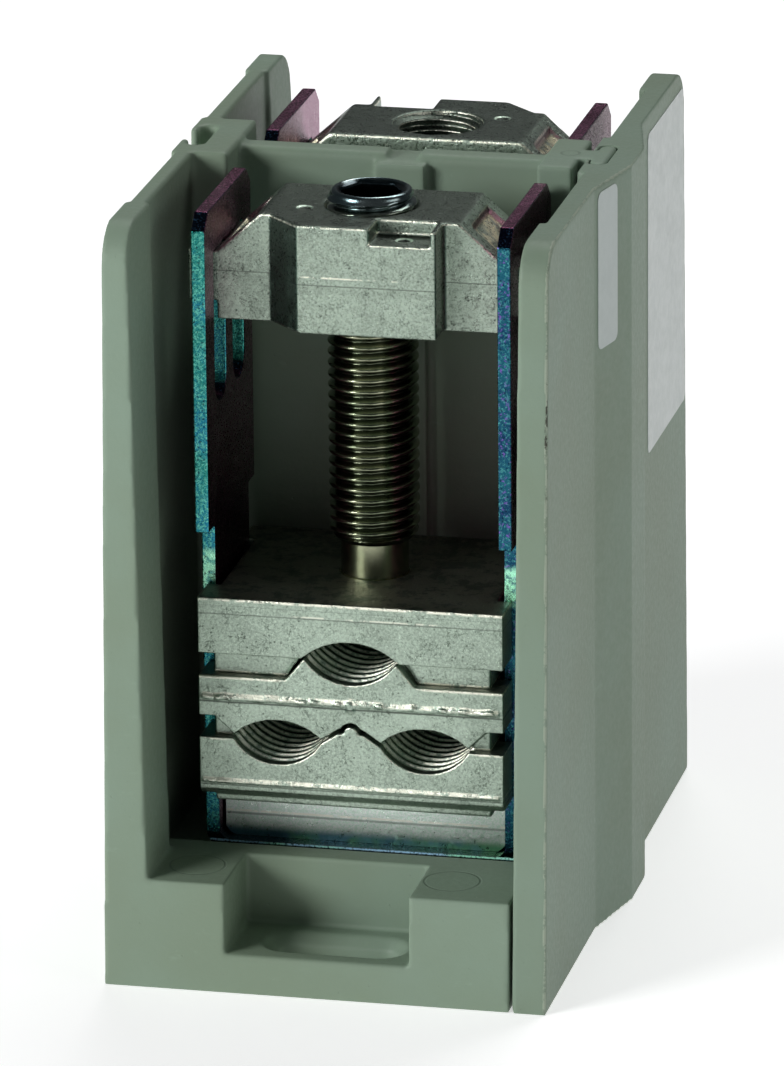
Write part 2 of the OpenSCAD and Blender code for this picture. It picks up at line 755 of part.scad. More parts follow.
// The space for the ridge between and beside the double grooves, seen in X and Z
module double_relief(foot) {
    outer = double_off + double_half;
    inner = double_off - double_half;
    edge = foot + double_gap;
    crest = edge + middle_ridge_h;
    top = middle_ridge_w / 2;
    polygon([
        [-outer, foot - 1], [-outer, edge], [-inner, edge], [-top, crest], [top, crest],
        [inner, edge], [outer, edge], [outer, foot - 1]
    ]);
    translate([0, foot + middle_ridge_h]) circle(r = bead_r + bead_clear);
}

// The underside that closes on a lower plate
module double_underside(foot) {
    along_y(-lip_d, lip_d) double_relief(foot);
    for (side = [-1, 1]) translate([side * double_off, 0, 0])
        cable_groove(double_half, groove_high, foot + double_gap, 1);
}

// Slopes from the lips' foot down to the double grooves
module lip_slopes(foot, lip_foot) {
    outer = double_off + double_half;
    for (turn = [0, 1]) mirror([0, turn, 0])
        along_y(lip_in, lip_d / 2)
            polygon([
                [-outer, foot + double_gap], [outer, foot + double_gap], [outer + slope_run, lip_foot + EPS],
                [-outer - slope_run, lip_foot + EPS]
            ]);
}

module front_pressure_plate() {
    hump = single_half + slope_run + hump_clear;
    edge = single_half + hump_clear;
    rise = lip_gap + single_gap;
    color("gainsboro") difference() {
        plate(middle_top, press_foot, press_top);
        along_y(-lip_d, lip_d)
            polygon([
                [-hump, middle_top - 1], [hump, middle_top - 1], [hump, middle_top],
                [edge, middle_top + rise], [-edge, middle_top + rise], [-hump, middle_top]
            ]);
        cable_groove(single_half, groove_high, middle_top + rise, 1);
        pilot_bore(press_top);
    }
}

module rear_pressure_plate() {
    color("gainsboro") difference() {
        union() {
            plate(lower_top, middle_foot, rear_press_top);
            lip_slopes(lower_top, middle_foot);
        }
        double_underside(lower_top);
        pilot_bore(rear_press_top);
    }
}

module front_middle_plate() {
    hump = single_half + slope_run;
    color("gainsboro") difference() {
        union() {
            plate(lower_top, middle_foot, middle_top);
            lip_slopes(lower_top, middle_foot);
            along_y(-lip_d / 2, lip_d / 2)
                polygon([
                    [-hump, middle_top - EPS], [hump, middle_top - EPS], [single_half, press_foot],
                    [-single_half, press_foot]
                ]);
        }
        double_underside(lower_top);
        cable_groove(single_half, groove_low, press_foot, -1);
    }
}

module lower_plate() {
    inner = double_off - double_half;
    crest = lower_top + middle_ridge_h;
    top = middle_ridge_w / 2;
    color("gainsboro") difference() {
        union() {
            plate(bar_top, lower_foot, lower_top);
            along_y(-lip_d / 2, lip_d / 2)
                polygon([
                    [-inner, lower_top - EPS], [inner, lower_top - EPS], [top, crest], [-top, crest]
                ]);
            along_y(-lip_d / 2, lip_d / 2) translate([0, crest]) circle(r = bead_r);
        }
        for (side = [-1, 1]) translate([side * double_off, 0, 0])
            cable_groove(double_half, groove_low, lower_top, -1);
        for (turn = [0, 1]) mirror([0, turn, 0])
            translate([0, lip_d / 2, lower_foot]) rotate([45, 0, 0])
                cube([2 * lip_w, lip_bevel, lip_bevel], center = true);
    }
}

// Places a clamp piece in the front bay, or turned round in the rear bay
module in_front() {
    translate([x_clamp, -screw_pitch / 2, 0]) children();
}

module in_rear() {
    translate([x_clamp, screw_pitch / 2, 0]) rotate([0, 0, 180]) children();
}

housing();
end_cover();
small_label();
large_label();
current_bar();
in_front() frame();  // front_frame
in_rear() frame();  // rear_frame
in_front() bridge();  // front_bridge
in_rear() bridge();  // rear_bridge
in_front() screw();  // front_screw
in_rear() translate([0, 0, -rear_drop]) screw();  // rear_screw
in_front() snap_ring();  // front_snap_ring
in_rear() translate([0, 0, -rear_drop]) snap_ring();  // rear_snap_ring
in_front() front_pressure_plate();
in_rear() rear_pressure_plate();
in_front() front_middle_plate();
in_front() lower_plate();  // front_lower_plate
in_rear() lower_plate();  // rear_lower_plate
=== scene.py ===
import json
import math
import random

import bmesh
import bpy
from mathutils import Matrix, Vector


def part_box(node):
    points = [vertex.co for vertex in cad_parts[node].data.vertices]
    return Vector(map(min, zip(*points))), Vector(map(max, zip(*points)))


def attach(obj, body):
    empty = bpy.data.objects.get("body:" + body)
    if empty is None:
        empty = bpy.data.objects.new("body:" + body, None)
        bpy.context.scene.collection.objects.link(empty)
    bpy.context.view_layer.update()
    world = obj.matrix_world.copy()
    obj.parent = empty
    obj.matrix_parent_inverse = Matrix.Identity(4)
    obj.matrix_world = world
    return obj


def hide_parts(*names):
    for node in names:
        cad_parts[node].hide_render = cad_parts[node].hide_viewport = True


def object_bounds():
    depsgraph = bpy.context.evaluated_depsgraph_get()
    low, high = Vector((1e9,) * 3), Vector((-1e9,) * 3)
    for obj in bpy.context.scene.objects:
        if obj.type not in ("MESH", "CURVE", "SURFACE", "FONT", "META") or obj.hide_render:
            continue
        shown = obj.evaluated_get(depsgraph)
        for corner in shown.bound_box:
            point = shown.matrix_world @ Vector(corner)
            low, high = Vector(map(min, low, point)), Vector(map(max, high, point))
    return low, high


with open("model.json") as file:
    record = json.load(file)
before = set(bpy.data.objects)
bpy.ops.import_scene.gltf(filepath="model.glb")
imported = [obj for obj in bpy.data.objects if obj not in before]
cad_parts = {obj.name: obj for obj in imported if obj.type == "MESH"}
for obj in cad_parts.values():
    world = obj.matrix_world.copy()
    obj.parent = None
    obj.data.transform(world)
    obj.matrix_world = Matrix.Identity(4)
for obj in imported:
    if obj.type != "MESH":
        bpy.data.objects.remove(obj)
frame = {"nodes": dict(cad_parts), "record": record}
cad_lo, cad_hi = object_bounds()
nodes = frame["nodes"]
node_body = {n: b for b, names in frame["record"]["behaviour"]["bodies"].items() for n in names}
MM = 0.001


# ---------------------------------------------------------------- camera, floor, light

def set_camera():
    az, el, roll = math.radians(12.695), math.radians(17.937), math.radians(-0.528)
    right = Vector((math.cos(az), math.sin(az), 0))
    back = Vector((math.sin(az) * math.cos(el), -math.cos(az) * math.cos(el), math.sin(el)))
    up = back.cross(right)
    r0 = right * math.cos(roll) + up * math.sin(roll)
    r1 = up * math.cos(roll) - right * math.sin(roll)
    place = Vector((-1.25, 4, 70)) - r0 * 3.201 - r1 * 6.279 + back * 1630.57
    data = bpy.data.cameras.new("camera")
    data.lens = 9098.3 * 36 / 1066
    data.sensor_width = 36
    data.clip_start, data.clip_end = 0.05, 30
    cam = bpy.data.objects.new("camera", data)
    bpy.context.scene.collection.objects.link(cam)
    m = Matrix((r0, r1, back)).transposed().to_4x4()
    m.translation = place * MM
    cam.matrix_world = m
    bpy.context.scene.camera = cam


def area_light(name, place, aim, size, power, colour=(1, 1, 1)):
    data = bpy.data.lights.new(name, "AREA")
    data.shape = "RECTANGLE"
    data.size, data.size_y = size
    data.energy = power
    data.color = colour
    lamp = bpy.data.objects.new(name, data)
    bpy.context.scene.collection.objects.link(lamp)
    lamp.location = place
    lamp.rotation_mode = "QUATERNION"
    lamp.rotation_quaternion = (Vector(aim) - Vector(place)).to_track_quat("-Z", "Y")


# ---------------------------------------------------------------- node helpers

class Shade:
    """A material with a Principled shader, and short calls for the nodes that feed it."""

    def __init__(self, name, **sockets):
        self.mat = bpy.data.materials.new(name)
        self.mat.use_nodes = True
        self.tree = self.mat.node_tree
        self.tree.nodes.clear()
        out = self.tree.nodes.new("ShaderNodeOutputMaterial")
        self.shader = self.tree.nodes.new("ShaderNodeBsdfPrincipled")
        self.tree.links.new(self.shader.outputs["BSDF"], out.inputs["Surface"])
        self.place = self.add("ShaderNodeTexCoord").outputs["Object"]
        for key, value in sockets.items():
            self.put(key.replace("_", " "), value)

    def add(self, kind, **props):
        node = self.tree.nodes.new(kind)
        for key, value in props.items():
            setattr(node, key, value)
        return node

    def feed(self, socket, value):
        if isinstance(value, bpy.types.NodeSocket):
            self.tree.links.new(value, socket)
        elif isinstance(value, tuple) and len(value) == 3 and socket.type == "RGBA":
            socket.default_value = (*value, 1)
        else:
            socket.default_value = value

    def put(self, name, value):
        self.feed(self.shader.inputs[name], value)

    def noise(self, scale, detail=3.0, rough=0.5, where=None, distort=0.0):
        node = self.add("ShaderNodeTexNoise")
        self.feed(node.inputs["Vector"], where or self.place)
        for key, value in (("Scale", scale), ("Detail", detail), ("Roughness", rough), ("Distortion", distort)):
            node.inputs[key].default_value = value
        return node.outputs["Fac"]

    def cells(self, scale, feature="F1", where=None):
        node = self.add("ShaderNodeTexVoronoi", feature=feature)
        self.feed(node.inputs["Vector"], where or self.place)
        node.inputs["Scale"].default_value = scale
        return node.outputs["Distance"]

    def stretched(self, x, y, z):
        node = self.add("ShaderNodeMapping")
        self.feed(node.inputs["Vector"], self.place)
        node.inputs["Scale"].default_value = (x, y, z)
        return node.outputs["Vector"]

    def span(self, value, lo, hi, to_lo=0.0, to_hi=1.0, smooth=True):
        node = self.add("ShaderNodeMapRange", interpolation_type="SMOOTHSTEP" if smooth else "LINEAR")
        self.feed(node.inputs["Value"], value)
        for key, v in (("From Min", lo), ("From Max", hi), ("To Min", to_lo), ("To Max", to_hi)):
            node.inputs[key].default_value = v
        return node.outputs["Result"]

    def math(self, op, a, b=0.0):
        node = self.add("ShaderNodeMath", operation=op)
        self.feed(node.inputs[0], a)
        self.feed(node.inputs[1], b)
        return node.outputs[0]

    def mix(self, share, a, b):
        node = self.add("ShaderNodeMix", data_type="RGBA")
        self.feed(node.inputs[0], share)
        self.feed(node.inputs[6], a)
        self.feed(node.inputs[7], b)
        return node.outputs[2]

    def axis(self, which, source=None):
        node = self.add("ShaderNodeSeparateXYZ")
        self.feed(node.inputs[0], source or self.place)
        return node.outputs["XYZ".index(which)]

    def distance(self, x, y):
        """Distance from an upright line at x and y."""
        dx, dy = self.math("SUBTRACT", self.axis("X"), x), self.math("SUBTRACT", self.axis("Y"), y)
        return self.math("SQRT", self.math("ADD", self.math("MULTIPLY", dx, dx), self.math("MULTIPLY", dy, dy)))

    def normal(self, which):
        node = self.add("ShaderNodeTexCoord")
        return self.axis(which, node.outputs["Normal"])

    def edges(self, radius):
        """About 0 on flats and up to 1 on edges and corners."""
        bevel = self.add("ShaderNodeBevel", samples=4)
        bevel.inputs["Radius"].default_value = radius
        geometry = self.add("ShaderNodeNewGeometry")
        dot = self.add("ShaderNodeVectorMath", operation="DOT_PRODUCT")
        self.feed(dot.inputs[0], bevel.outputs["Normal"])
        self.feed(dot.inputs[1], geometry.outputs["Normal"])
        return self.span(dot.outputs["Value"], 0.995, 0.8, 0.0, 1.0)

    def bump(self, height, distance, strength=1.0, below=None):
        node = self.add("ShaderNodeBump")
        node.inputs["Strength"].default_value = strength
        node.inputs["Distance"].default_value = distance
        self.feed(node.inputs["Height"], height)
        if below is not None:
            self.feed(node.inputs["Normal"], below)
        return node.outputs["Normal"]


# ---------------------------------------------------------------- materials

def plastic(name, tint, edge_share, flash=False, rings=()):
    """Matte moulded plastic. With flash, rounded edges of the outer face carry a whitish, ragged, dirty line.
    Each ring is (x, y, radius) of a faint ejector mark on a face that looks up."""
    s = Shade(name, IOR=1.5, Specular_IOR_Level=0.3)
    broad = s.noise(18, 4, 0.6)
    fine = s.noise(900, 4, 0.65)
    edge = s.math("MULTIPLY", s.edges(0.0007), s.span(s.noise(260, 3, 0.7), 0.42, 0.62))
    base = s.mix(s.span(broad, 0.35, 0.7), (tint[0] * 0.97, tint[1] * 0.94, tint[2] * 0.88), tuple(c * 1.06 for c in tint))
    speck = s.span(s.cells(420), 0.0, 0.12, 1.0, 0.0)
    base = s.mix(s.math("MULTIPLY", speck, 0.16), base, tuple(c * 0.6 for c in tint))
    scuff = s.noise(110, 5, 0.75, s.stretched(1, 1, 2.5))
    base = s.mix(s.span(scuff, 0.6, 0.72, 0.0, 0.22), base, tuple(c * 1.35 for c in tint))
    base = s.mix(s.math("MULTIPLY", edge, edge_share), base, tuple(min(1, c * 1.6) for c in tint))
    dents = s.span(s.cells(260), 0.0, 0.06, 1.0, 0.0)
    up = s.normal("Z")
    for x, y, radius in rings:
        d = s.distance(x, y)
        ring = s.span(s.math("ABSOLUTE", s.math("SUBTRACT", d, radius)), 0.0001, 0.0003, 1.0, 0.0)
        ring = s.math("MULTIPLY", ring, s.span(up, 0.8, 0.95))
        base = s.mix(s.math("MULTIPLY", ring, 0.4), base, tuple(c * 0.5 for c in tint))
        dents = s.math("MAXIMUM", dents, ring)
    if flash:
        y, z, out = s.axis("Y"), s.axis("Z"), s.normal("X")
        line = s.math("MULTIPLY", s.span(out, 0.1, 0.3), s.span(out, 0.86, 0.95, 1.0, 0.0))
        line = s.math("MULTIPLY", line, s.span(y, -0.01, 0.01, 1.0, 0.0))
        ragged = s.span(s.noise(380, 5, 0.8), 0.4, 0.52, 0.15, 0.8)
        base = s.mix(s.math("MULTIPLY", line, ragged), base, (0.40, 0.46, 0.36))
        streak = s.span(s.noise(300, 5, 0.8, s.stretched(1, 1, 0.4)), 0.5, 0.56)
        zone = s.math("MULTIPLY", s.span(z, 0.09, 0.097), s.span(z, 0.114, 0.12, 1.0, 0.0))
        zone = s.math("MULTIPLY", zone, s.span(y, -0.055, -0.05, 1.0, 0.0))
        base = s.mix(s.math("MULTIPLY", s.math("MULTIPLY", line, zone), s.math("MULTIPLY", streak, 0.9)), base, (0.02, 0.02, 0.012))
    s.put("Base Color", base)
    s.put("Roughness", s.span(fine, 0.3, 0.7, 0.46, 0.6))
    grain = s.bump(fine, 0.00008, 0.6)
    worn = s.bump(dents, -0.00012, 0.6, grain)
    s.put("Normal", s.bump(broad, 0.0006, 0.25, worn))
    return s.mat


def casting(name, tint, rough, lines=(), highlight_lines=(), shaded_dimples=(), painted_shine=(), top_shade=0.3):
    """A die-cast, tin-plated surface: fine grain, curly scratches, pits, painted glints, and faint parting lines.
    Each line is (height, width, how dark) and each highlight line (height, width, strength, left x, right x), in
    metres;
    highlight lines are painted highlights. Each dimple is the (x, y) of a small dimple with painted shade in it and a
    painted highlight on its rim, and each shine place the (x, y, half width, half depth) of a sunk face with a painted
    highlight. top_shade darkens the faces that look up."""
    s = Shade(name, Metallic=1.0)
    grain = s.noise(3400, 2, 0.6)
    speckle = s.noise(2100, 4, 0.8)
    lumps = s.noise(420, 4, 0.65)
    broad = s.noise(70, 4, 0.6)
    curl = s.noise(760, 3, 0.6, distort=0.8)
    hair = s.span(s.math("ABSOLUTE", s.math("SUBTRACT", curl, 0.5)), 0.004, 0.02, 1.0, 0.0)
    hair = s.math("MULTIPLY", hair, s.span(s.noise(330, 3, 0.6), 0.5, 0.6))
    pits = s.math("MULTIPLY", s.span(s.cells(1100), 0.1, 0.26, 1.0, 0.0), s.span(lumps, 0.5, 0.56))
    # Pale specks in the colour are painted glints.
    painted_glint = s.math("MULTIPLY", s.span(s.cells(1500), 0.08, 0.2, 1.0, 0.0), s.span(lumps, 0.44, 0.5, 1.0, 0.0))
    shade = s.math("ADD", speckle, s.math("MULTIPLY", s.math("SUBTRACT", broad, 0.5), 0.35))
    dark, light = tuple(c * 0.3 for c in tint), tuple(min(1, c * 1.9) for c in tint)
    colour = s.mix(s.span(shade, 0.36, 0.64), tuple(c * 0.72 for c in tint), tuple(c * 1.16 for c in tint))
    colour = s.mix(s.math("MULTIPLY", hair, 0.6), colour, dark)
    colour = s.mix(s.math("MULTIPLY", pits, 0.7), colour, dark)
    colour = s.mix(s.math("MULTIPLY", painted_glint, 0.6), colour, light)
    height = s.axis("Z")
    seam = None
    for z, width, depth in lines:
        wander = s.math("MULTIPLY", s.math("SUBTRACT", lumps, 0.5), width * 1.2)
        near = s.math("ABSOLUTE", s.math("SUBTRACT", s.math("ADD", height, wander), z))
        mark = s.span(near, width * 0.3, width, depth, 0.0)
        seam = mark if seam is None else s.math("MAXIMUM", seam, mark)
    if seam is not None:
        colour = s.mix(seam, colour, dark)
    x, up, across = s.axis("X"), s.normal("Z"), s.math("ABSOLUTE", s.normal("X"))
    broken = s.span(s.noise(260, 4, 0.8), 0.42, 0.52)
    # Painted highlight lines at set heights along edges, broken by noise and ended at left x and right x.
    for z, width, strength, left, right in highlight_lines:
        near = s.math("ABSOLUTE", s.math("SUBTRACT", height, z))
        mark = s.math("MULTIPLY", s.span(near, width * 0.3, width, strength, 0.0), broken)
        mark = s.math("MULTIPLY", mark, s.span(x, left, left + 0.002))
        mark = s.math("MULTIPLY", mark, s.span(x, right - 0.002, right, 1.0, 0.0))
        colour = s.mix(mark, colour, (0.92, 0.92, 0.78))
    colour = s.mix(s.span(up, 0.75, 0.97, 0.0, 1.0 - top_shade), colour, tuple(c * 0.12 for c in tint))
    # Each dimple: a near-black centre of painted shade, and a rim on faces that look up with a painted highlight.
    for place in shaded_dimples:
        d = s.distance(*place)
        colour = s.mix(s.span(d, 0.0010, 0.0012, 0.9, 0.0), colour, tuple(c * 0.06 for c in tint))
        rim = s.span(s.math("ABSOLUTE", s.math("SUBTRACT", d, 0.00135)), 0.0001, 0.0003, 0.8, 0.0)
        colour = s.mix(s.math("MULTIPLY", rim, s.span(up, 0.6, 0.8)), colour, light)
    # Sunk ledge faces that slope up get a pale, broken painted highlight.
    for cx, cy, wide, deep in painted_shine:
        near = s.math("MAXIMUM", s.math("SUBTRACT", s.math("ABSOLUTE", s.math("SUBTRACT", x, cx)), wide),
                      s.math("SUBTRACT", s.math("ABSOLUTE", s.math("SUBTRACT", s.axis("Y"), cy)), deep))
        shine = s.math("MULTIPLY", s.span(near, -0.0004, 0.0, 1.0, 0.0), s.span(up, 0.3, 0.5))
        shine = s.math("MULTIPLY", shine, s.span(s.noise(300, 4, 0.7), 0.38, 0.56, 0.1, 0.9))
        colour = s.mix(shine, colour, (0.95, 0.90, 0.66))
    # Rounded edges that face partly up turn pale: wear together with a painted highlight, broken by noise.
    worn = s.math("MULTIPLY", s.span(up, 0.1, 0.25), s.span(up, 0.5, 0.66, 1.0, 0.0))
    worn = s.math("MULTIPLY", worn, s.span(s.noise(520, 4, 0.8), 0.4, 0.5))
    colour = s.mix(s.math("MULTIPLY", worn, 0.8), colour, (0.9, 0.9, 0.76))
    # Faces turned partly sideways, such as slanted facets and rounded upright corners, are darkened to a dark green
    # painted reflection.
    upright = s.math("MULTIPLY", s.span(across, 0.15, 0.45), s.span(across, 0.86, 0.97, 1.0, 0.0))
    upright = s.math("MULTIPLY", upright, s.span(s.math("ABSOLUTE", up), 0.1, 0.3, 1.0, 0.0))
    colour = s.mix(s.math("MULTIPLY", upright, 0.8), colour, (tint[0] * 0.16, tint[1] * 0.26, tint[2] * 0.24))
    s.put("Base Color", colour)
    s.put("Roughness", s.span(s.math("ADD", speckle, s.math("MULTIPLY", lumps, 0.4)), 0.5, 0.9, rough - 0.08, rough + 0.12))
    low = s.bump(lumps, 0.0004, 0.35)
    mid = s.bump(speckle, 0.00012, 0.8, low)
    fine = s.bump(grain, 0.00005, 0.7, mid)
    s.put("Normal", s.bump(s.math("ADD", pits, hair), -0.00008, 0.6, fine))
    return s.mat


def zinc_strap(name):
    """Iridescent passivated zinc: teal to blue on the cut front and rear edges, violet on the rolled faces."""
    s = Shade(name, Metallic=1.0)
    cloud = s.noise(90, 4, 0.6, distort=0.6)
    speckle = s.noise(2400, 4, 0.75)
    coarse = s.noise(900, 3, 0.7)
    x, z, up = s.axis("X"), s.axis("Z"), s.normal("Z")
    side = s.span(s.math("ABSOLUTE", s.normal("Y")), 0.6, 0.8)
    right = s.span(x, CLAMP_X - 0.003, CLAMP_X + 0.003)
    green = s.mix(s.span(cloud, 0.4, 0.6), (0.02, 0.22, 0.20), (0.02, 0.20, 0.30))
    green = s.mix(s.span(speckle, 0.46, 0.64), green, (0.16, 0.62, 0.50))
    blue = s.mix(s.span(cloud, 0.4, 0.6), (0.010, 0.048, 0.11), (0.015, 0.10, 0.15))
    blue = s.mix(s.span(speckle, 0.5, 0.66), blue, (0.08, 0.33, 0.34))
    blue = s.mix(s.span(s.noise(1500, 3, 0.7), 0.56, 0.68), blue, (0.16, 0.10, 0.40))
    teal = s.mix(right, green, blue)
    # Edges on faces turned to the left get a painted green highlight.
    rim = s.math("MULTIPLY", s.span(s.edges(0.0006), 0.1, 0.6), s.span(s.normal("X"), -0.9, -0.2, 1.0, 0.0))
    teal = s.mix(s.math("MULTIPLY", rim, 0.8), teal, (0.20, 0.75, 0.50))
    lit = s.math("MULTIPLY", s.span(z, 0.0650, 0.0665), s.span(z, 0.0715, 0.0735, 1.0, 0.0))
    lit = s.math("MULTIPLY", lit, s.span(s.noise(500, 3, 0.7), 0.4, 0.55, 0.2, 1.0))
    teal = s.mix(lit, teal, (0.45, 1.0, 0.70))
    teal = s.mix(s.span(s.cells(1100), 0.12, 0.3, 0.7, 0.0), teal, (0.005, 0.012, 0.04))
    violet = s.mix(s.span(cloud, 0.36, 0.64), (0.13, 0.03, 0.075), (0.24, 0.085, 0.16))
    violet = s.mix(s.span(coarse, 0.55, 0.7), violet, (0.26, 0.12, 0.20))
    # The violet is darkened towards the bottom as painted shade.
    low = s.span(z, 0.02, 0.1)
    violet = s.mix(low, tuple(c * 0.35 for c in (0.13, 0.03, 0.075)), violet)
    colour = s.mix(side, violet, teal)
    # Chamfers that look partly up get a dark, speckled painted reflection.
    chamfer = s.math("MULTIPLY", s.span(up, 0.4, 0.6), s.span(up, 0.8, 0.95, 1.0, 0.0))
    painted_dark_reflection = s.mix(s.span(speckle, 0.55, 0.68), (0.004, 0.008, 0.025), (0.10, 0.25, 0.45))
    colour = s.mix(s.math("MULTIPLY", chamfer, 0.95), colour, painted_dark_reflection)
    # Below about 20 mm the strap is painted near black: painted shade at its foot.
    foot = s.span(z, 0.0196, 0.0206, 1.0, 0.0)
    colour = s.mix(foot, colour, (0.004, 0.012, 0.014))
    # A thin band just under that, on the front and rear faces, is a painted green-white highlight and not metallic.
    lip = s.math("MULTIPLY", s.span(z, 0.0184, 0.0187), s.span(z, 0.0189, 0.0191, 1.0, 0.0))
    lip = s.math("MULTIPLY", lip, side)
    painted_shine = s.mix(s.span(s.noise(60, 2, 0.5), 0.44, 0.56), (0.45, 1.0, 0.75), (0.45, 0.75, 1.0))
    colour = s.mix(s.math("MULTIPLY", lip, s.span(speckle, 0.36, 0.5)), colour, painted_shine)
    dark = s.math("MULTIPLY", s.edges(0.0004), 0.35)
    s.put("Metallic", s.math("SUBTRACT", 1.0, lip))
    s.put("Base Color", s.mix(dark, colour, (0.01, 0.015, 0.06)))
    s.put("Roughness", s.span(speckle, 0.35, 0.7, 0.2, 0.34))
    along = s.noise(500, 3, 0.6, s.stretched(1, 1, 0.25))
    s.put("Normal", s.bump(speckle, 0.0001, 0.7, s.bump(along, 0.0002, 0.3)))
    return s.mat


def screw_steel(name, top=9.0, place=(0.0, 0.0)):
    """Plated steel, brassy in the threads with painted shade in their roots; bluish and dark at the head, and near
    black with painted shade in its socket.
    """
    s = Shade(name, Metallic=1.0)
    cloud = s.noise(150, 4, 0.6)
    fine = s.noise(2200, 2, 0.6, s.stretched(1, 1, 6))
    z = s.axis("Z")
    brass = s.mix(s.span(cloud, 0.35, 0.65), (0.17, 0.20, 0.13), (0.36, 0.37, 0.26))
    blue = s.mix(s.span(cloud, 0.4, 0.6), (0.12, 0.17, 0.18), (0.30, 0.36, 0.36))
    # Thread roots, inside about 7.4 mm radius, are darkened as painted shade.
    brass = s.mix(s.span(s.distance(*place), 0.0070, 0.0078, 0.8, 0.0), brass, (0.03, 0.04, 0.025))
    smooth = s.span(z, top - 0.0640, top - 0.0634, 1.0, 0.0)
    brass = s.mix(smooth, brass, (0.34, 0.36, 0.24))
    colour = s.mix(s.span(z, top - 0.0045, top - 0.001), brass, blue)
    # Deep in the socket the colour is near black: painted shade.
    inside = s.math("MULTIPLY", s.span(s.distance(*place), 0.0059, 0.0062, 1.0, 0.0), s.span(z, top - 0.012, top - 0.011))
    s.put("Base Color", s.mix(s.math("MULTIPLY", inside, 0.85), colour, (0.006, 0.012, 0.018)))
    s.put("Roughness", s.span(fine, 0.3, 0.7, 0.12, 0.26))
    s.put("Normal", s.bump(fine, 0.00003, 0.4))
    return s.mat


def bar_metal(name):
    s = Shade(name, Metallic=1.0)
    drawn = s.noise(900, 3, 0.6, s.stretched(1, 0.06, 1))
    speckle = s.noise(2300, 4, 0.8)
    colour = s.mix(s.span(speckle, 0.42, 0.6), (0.72, 0.90, 0.78), (0.95, 1.0, 0.97))
    z, x = s.axis("Z"), s.axis("X")
    # A broken painted highlight line along the face, and just under it a painted shade line.
    line = s.math("MULTIPLY", s.span(s.math("ABSOLUTE", s.math("SUBTRACT", z, 0.0235)), 0.0001, 0.0003, 1.0, 0.0),
                  s.span(s.noise(300, 4, 0.8), 0.4, 0.5))
    colour = s.mix(line, colour, (1.0, 1.0, 0.9))
    below = s.span(s.math("ABSOLUTE", s.math("SUBTRACT", z, 0.0230)), 0.0001, 0.0003, 0.6, 0.0)
    colour = s.mix(below, colour, (0.2, 0.22, 0.2))
    # Low on the face: a painted reflection, teal to green across the bar.
    reflection_band = s.span(z, 0.0195, 0.0212, 1.0, 0.0)
    sheen = s.mix(s.span(s.math("ADD", s.noise(120, 3, 0.6), s.math("MULTIPLY", x, 6.0)), 0.4, 0.62), (0.08, 0.36, 0.50), (0.10, 0.50, 0.20))
    colour = s.mix(s.math("MULTIPLY", reflection_band, 0.85), colour, sheen)
    s.put("Base Color", colour)
    s.put("Roughness", s.span(drawn, 0.3, 0.7, 0.26, 0.44))
    s.put("Normal", s.bump(speckle, 0.0001, 0.6, s.bump(drawn, 0.0001, 0.4)))
    return s.mat


def film(name, tint):
    s = Shade(name, IOR=1.46)
    fibre = s.noise(700, 3, 0.6)
    rub = s.span(s.noise(90, 4, 0.65), 0.5, 0.72)
    s.put("Base Color", s.mix(s.math("MULTIPLY", rub, 0.35), tint, tuple(c * 0.86 for c in tint)))
    s.put("Roughness", s.span(fibre, 0.3, 0.7, 0.3, 0.45))
    s.put("Normal", s.bump(fibre, 0.00003, 0.4))
    return s.mat


def floor_paint(name):
    s = Shade(name, Roughness=0.7, Emission_Color=(1.0, 1.0, 1.0))
    ray = s.add("ShaderNodeLightPath").outputs
    seen = s.math("ADD", ray["Is Camera Ray"], s.math("ADD", ray["Is Glossy Ray"], ray["Is Transmission Ray"]))
    s.put("Emission Strength", s.span(seen, 0.0, 1.0, 0.4, 0.52, False))
    s.put("Base Color", s.mix(s.noise(3, 3, 0.5), (0.86, 0.86, 0.86), (0.9, 0.9, 0.9)))
    return s.mat


